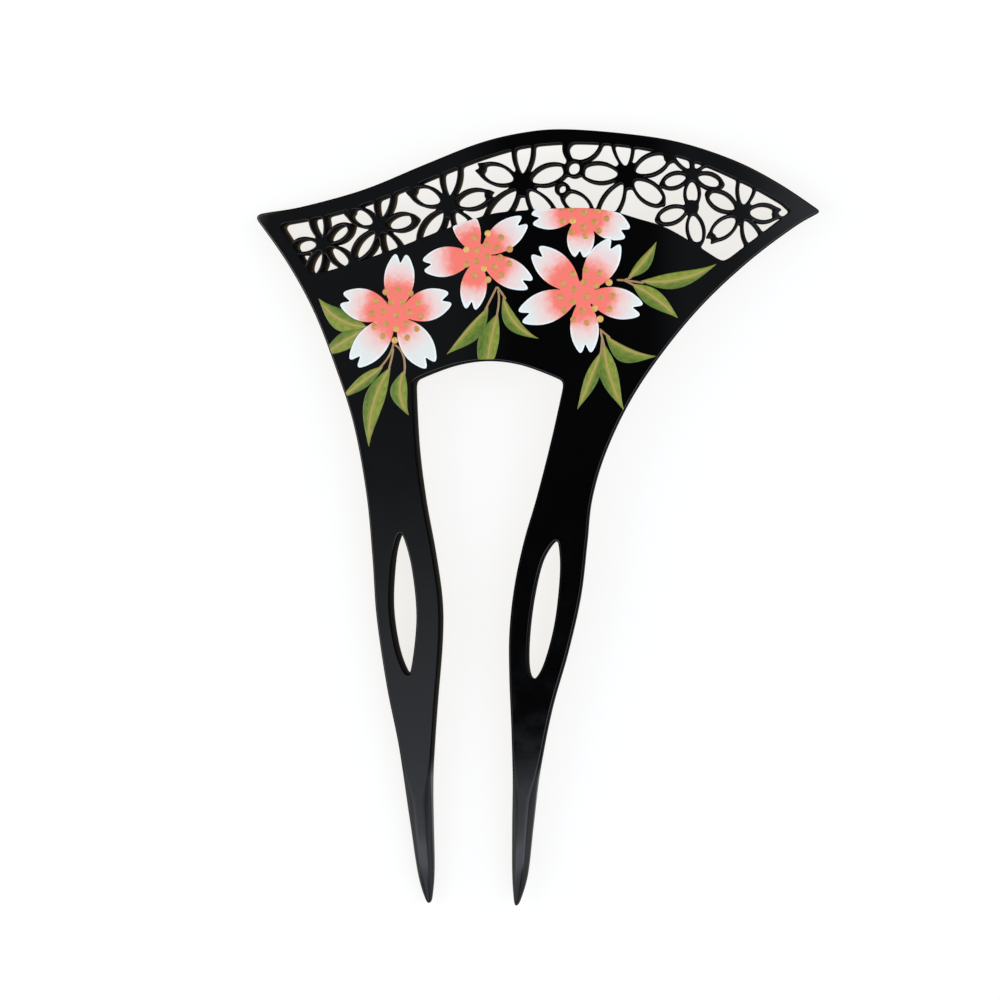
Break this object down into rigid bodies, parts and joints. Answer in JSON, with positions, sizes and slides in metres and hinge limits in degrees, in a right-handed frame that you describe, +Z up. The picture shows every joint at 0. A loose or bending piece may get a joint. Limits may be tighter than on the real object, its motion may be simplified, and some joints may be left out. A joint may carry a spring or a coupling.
{
  "type": "two-pronged kanzashi hairpin",
  "caption": "Flat plectrum-shaped hairpin with two prongs, a pierced flower band along the fan and raised cherry blossoms with leaves.",
  "frame": {"origin": "centre of the box's underside, on the surface the hairpin lies on", "axes": "+Y from the prongs' tips to the fan, +Z up out of the decorated front, +X to the right seen from the front"},
  "size_m": [0.1074, 0.1446, 0.0104],
  "materials": {
    "lacquer": "carved wood under polished black lacquer, softly glossy, with eased edges",
    "blossom": "raised lacquer paint, coral at the heart fading through pink to bluish white tips, gold stamens",
    "leaf": "raised lacquer paint, olive green with gold midribs and stems"
  },
  "bodies": {
    "root": {"plate": "lacquer", "blossom_left": "blossom", "blossom_upper": "blossom", "blossom_right": "blossom", "blossom_band": "blossom", "leaves_left_side": "leaf", "leaves_left_foot": "leaf", "leaves_middle": "leaf", "leaves_right_side": "leaf", "leaves_right_foot": "leaf"}
  },
  "joints": []
}
